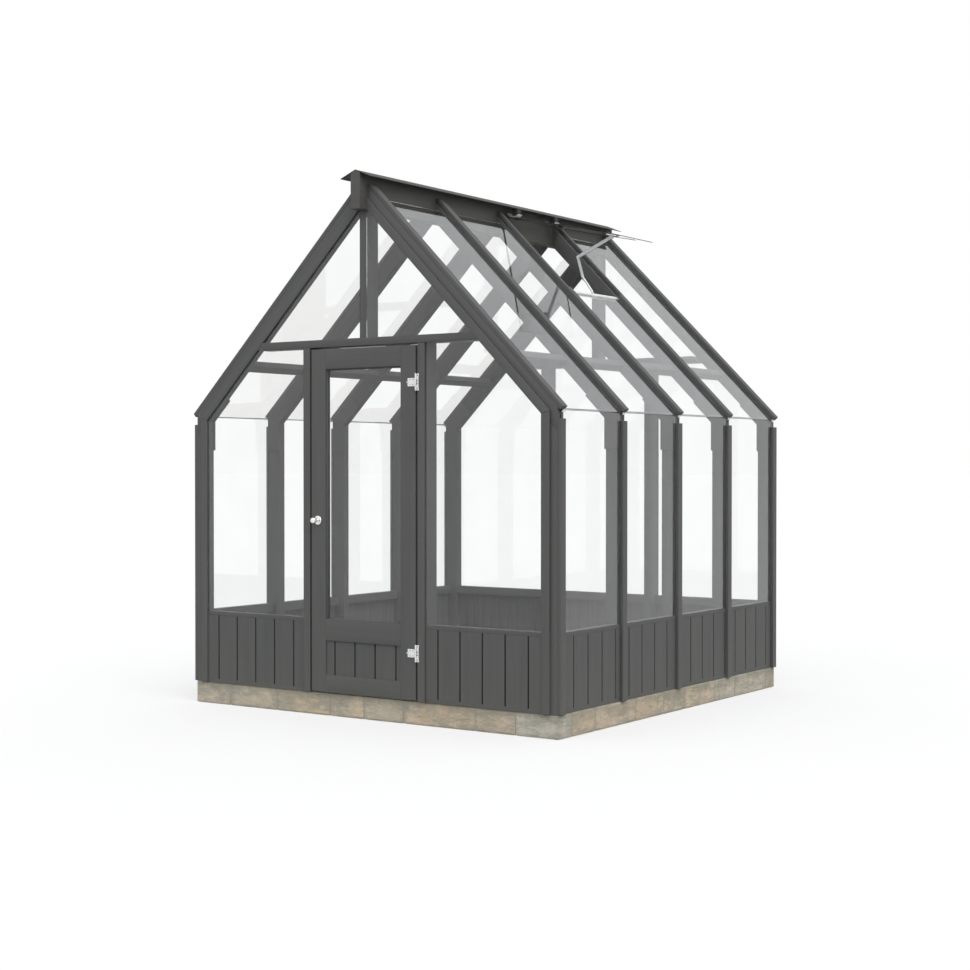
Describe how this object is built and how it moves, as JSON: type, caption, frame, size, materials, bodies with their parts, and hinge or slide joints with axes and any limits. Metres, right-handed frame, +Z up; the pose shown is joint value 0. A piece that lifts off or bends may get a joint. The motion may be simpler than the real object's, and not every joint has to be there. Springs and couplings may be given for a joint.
{
  "type": "glass greenhouse",
  "caption": "Timber-framed glass greenhouse with a boarded dado, a steep glass roof with an open vent, and a hinged gable door on a stone plinth",
  "frame": {"origin": "middle of the stone plinth, on the ground", "axes": "+X across the gable, +Y along the ridge away from the door, +Z up"},
  "size_m": [2.441, 2.574, 2.856],
  "materials": {
    "sandstone": "weathered",
    "grey_timber": "matt paint",
    "clear_glass": "clear",
    "dark_sheet": "satin",
    "opener_metal": "satin",
    "hinge_steel": "bright zinc",
    "knob_metal": "polished"
  },
  "bodies": {
    "greenhouse": {"plinth_ends": "sandstone", "plinth_sides": "sandstone", "left_posts": "grey_timber", "right_posts": "grey_timber", "left_rafters": "grey_timber", "right_rafters": "grey_timber", "knee_plates": "grey_timber", "purlins": "grey_timber", "ridge_beam": "grey_timber", "ridge_cap": "dark_sheet", "front_tie_beam": "grey_timber", "front_king_post": "grey_timber", "door_posts": "grey_timber", "front_sills": "grey_timber", "front_boarding": "grey_timber", "front_windows": "clear_glass", "front_gable_glass": "clear_glass", "front_battens": "grey_timber", "back_tie_beam": "grey_timber", "back_posts": "grey_timber", "back_sills": "grey_timber", "back_boarding": "grey_timber", "back_windows": "clear_glass", "back_gable_glass": "clear_glass", "back_battens": "grey_timber", "side_sills": "grey_timber", "left_boarding": "grey_timber", "right_boarding": "grey_timber", "left_wall_glass": "clear_glass", "right_wall_glass": "clear_glass", "wall_battens": "grey_timber", "left_roof_glass": "clear_glass", "right_roof_glass": "clear_glass", "roof_battens": "grey_timber", "vent_crossbar": "opener_metal", "vent_glass": "clear_glass", "vent_hinges": "dark_sheet", "vent_opener": "opener_metal", "hinge_plates": "hinge_steel"},
    "door": {"door_stiles": "grey_timber", "door_rails": "grey_timber", "door_boarding": "grey_timber", "door_glass": "clear_glass", "door_knob": "knob_metal", "door_straps": "hinge_steel"}
  },
  "joints": [
    {"name": "door_hinge", "type": "hinge", "parent": "greenhouse", "child": "door", "pos_m": [0.351, -1.235, 0], "axis": [0, 0, 1], "range_deg": [0, 165]}
  ]
}
